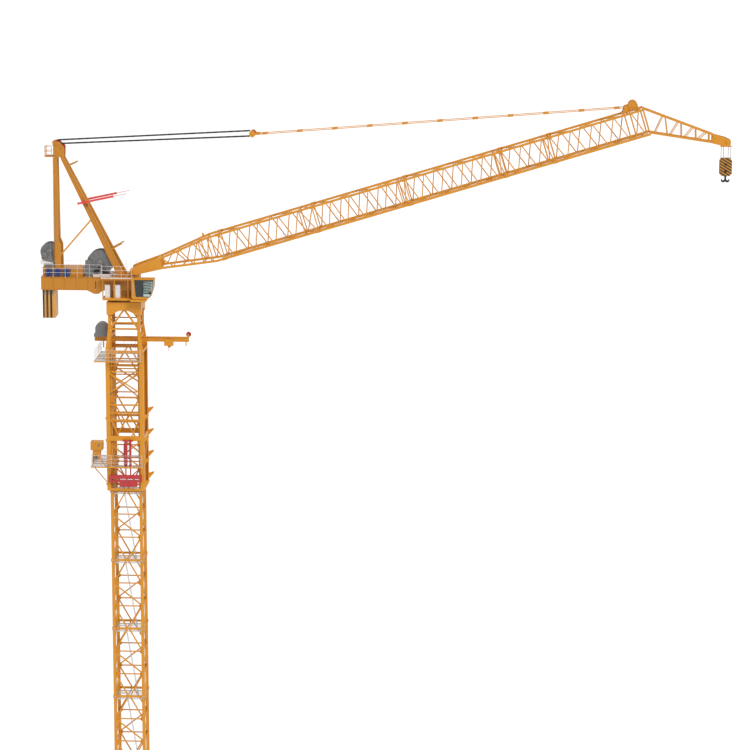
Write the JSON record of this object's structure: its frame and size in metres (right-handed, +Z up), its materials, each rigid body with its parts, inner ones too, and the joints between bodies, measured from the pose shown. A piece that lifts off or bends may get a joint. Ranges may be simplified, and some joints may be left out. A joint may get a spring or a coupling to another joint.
{
  "type": "luffing tower crane, 1:2 scale model",
  "caption": "Luffing-jib tower crane with a laced mast, climbing cage, monorail, slewing deck, A-frame, pendant-held boom with fly jib, and hook block.",
  "frame": {"origin": "on the mast's axis, at the underside of the base frame", "axes": "+Z up, +X along the boom, -Y the cab's side"},
  "size_m": [32.81, 2.61, 36.3726],
  "materials": {
    "yellow_steel": "satin paint, weathered",
    "yellow_grating": "painted grating",
    "grey_steel": "grey paint",
    "red_steel": "red paint",
    "blue_steel": "blue paint",
    "cabinet_paint": "pale cabinet paint",
    "galvanized": "galvanized",
    "ballast": "painted ballast with dark stripes",
    "wire_rope": "greased wire rope",
    "forged_black": "black forged steel",
    "window_glass": "clear glass"
  },
  "bodies": {
    "tower": {"base_frame": "yellow_steel", "mast_legs": "yellow_steel", "mast_front_bracing": "yellow_steel", "mast_right_bracing": "yellow_steel", "mast_rear_bracing": "yellow_steel", "mast_left_bracing": "yellow_steel", "mast_platforms": "yellow_grating", "mast_ladders": "galvanized", "cage_columns": "yellow_steel", "cage_front_frame": "yellow_steel", "cage_right_frame": "yellow_steel", "cage_rear_frame": "yellow_steel", "cage_left_frame": "yellow_steel", "cage_upper_walkway": "yellow_grating", "cage_lower_walkway": "yellow_grating", "climbing_gear": "red_steel", "hydraulic_unit": "yellow_steel", "tower_head": "yellow_steel", "head_braces": "yellow_steel", "monorail_beam": "yellow_steel", "monorail_sheave": "red_steel", "auxiliary_winch": "grey_steel", "slewing_support": "yellow_steel"},
    "trolley": {"monorail_trolley": "yellow_steel"},
    "upper_works": {"slewing_platform": "yellow_steel", "machinery_deck": "yellow_steel", "deck_railings": "yellow_steel", "counterweight": "ballast", "aframe_rear_legs": "yellow_steel", "aframe_front_legs": "yellow_steel", "aframe_head": "yellow_steel", "aframe_sheaves": "red_steel", "aframe_braces": "yellow_steel", "back_stops": "red_steel", "hoist_winch": "grey_steel", "luffing_winch": "grey_steel", "winch_drives": "blue_steel", "electrical_cabinets": "cabinet_paint", "cab_frame": "yellow_steel", "cab_glass": "window_glass"},
    "boom": {"boom_foot": "yellow_steel", "boom_chords": "yellow_steel", "boom_near_lacing": "yellow_steel", "boom_far_lacing": "yellow_steel", "boom_top_lacing": "yellow_steel", "boom_bottom_lacing": "yellow_steel", "boom_head": "yellow_steel", "fly_jib": "yellow_steel", "boom_walkway": "yellow_grating"},
    "pendants": {"pendant_bars": "yellow_steel", "floating_block": "yellow_steel"},
    "ropes": {"luffing_ropes": "wire_rope"},
    "falls": {"hoist_falls": "wire_rope"},
    "hook": {"hook_block": "yellow_steel", "hook": "forged_black"}
  },
  "joints": [
    {"name": "slew", "type": "hinge", "parent": "tower", "child": "upper_works", "pos_m": [0, 0, 26.7], "axis": [0, 0, 1], "continuous": true},
    {"name": "boom_luff", "type": "hinge", "parent": "upper_works", "child": "boom", "pos_m": [0.42, 0, 28.11], "axis": [0, -1, 0], "range_deg": [0, 66]},
    {"name": "pendant_swing", "type": "hinge", "parent": "boom", "child": "pendants", "pos_m": [23.74649, 0, 36.05937], "axis": [0, -1, 0], "range_deg": [0, 3]},
    {"name": "luffing_rope_swing", "type": "hinge", "parent": "upper_works", "child": "ropes", "pos_m": [-3.18, 0, 34.14], "axis": [0, -1, 0], "range_deg": [0, 69], "deforming": ["luffing_ropes"]},
    {"name": "hook_hang", "type": "hinge", "parent": "boom", "child": "falls", "pos_m": [28.45, 0, 34.46], "axis": [0, -1, 0], "range_deg": [-67, 0]},
    {"name": "hoist", "type": "slide", "parent": "falls", "child": "hook", "axis": [0, 0, -1], "range_m": [0, 31], "deforming": ["hoist_falls"]},
    {"name": "trolley_travel", "type": "slide", "parent": "tower", "child": "trolley", "axis": [1, 0, 0], "range_m": [-0.8, 0.55]}
  ],
  "couplings": [
    {"joint": "pendant_swing", "follows": "boom_luff", "ratio": 0.0372},
    {"joint": "luffing_rope_swing", "follows": "boom_luff", "ratio": 1.0372},
    {"joint": "hook_hang", "follows": "boom_luff", "ratio": -1}
  ]
}
